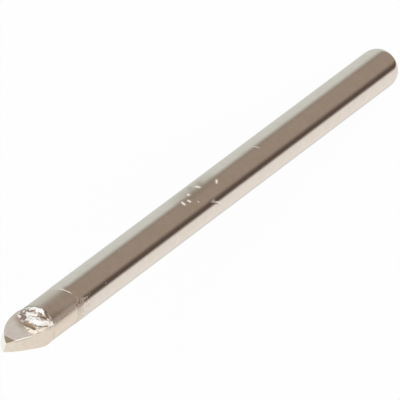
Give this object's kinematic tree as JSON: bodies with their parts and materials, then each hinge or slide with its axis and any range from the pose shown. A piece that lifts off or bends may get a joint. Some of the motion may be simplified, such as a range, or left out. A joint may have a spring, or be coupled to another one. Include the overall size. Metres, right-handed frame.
{
  "type": "glass and tile drill bit",
  "caption": "Slim straight-shank drill bit for glass and tile, with a carbide spear plate brazed across the end of a plated round shank.",
  "frame": {"origin": "centre of the flat shank end", "axes": "+Z along the bit axis from the shank end to the point; X runs across the width of the carbide plate"},
  "size_m": [0.0038, 0.0038, 0.075],
  "materials": {
    "shank": "bright nickel-like plate over steel",
    "carbide_tip": "ground carbide",
    "braze_joint": "as-cooled silver and brass-coloured filler"
  },
  "bodies": {
    "root": {"shank": "shank", "carbide_tip": "carbide_tip", "braze_joint": "braze_joint"}
  },
  "joints": []
}
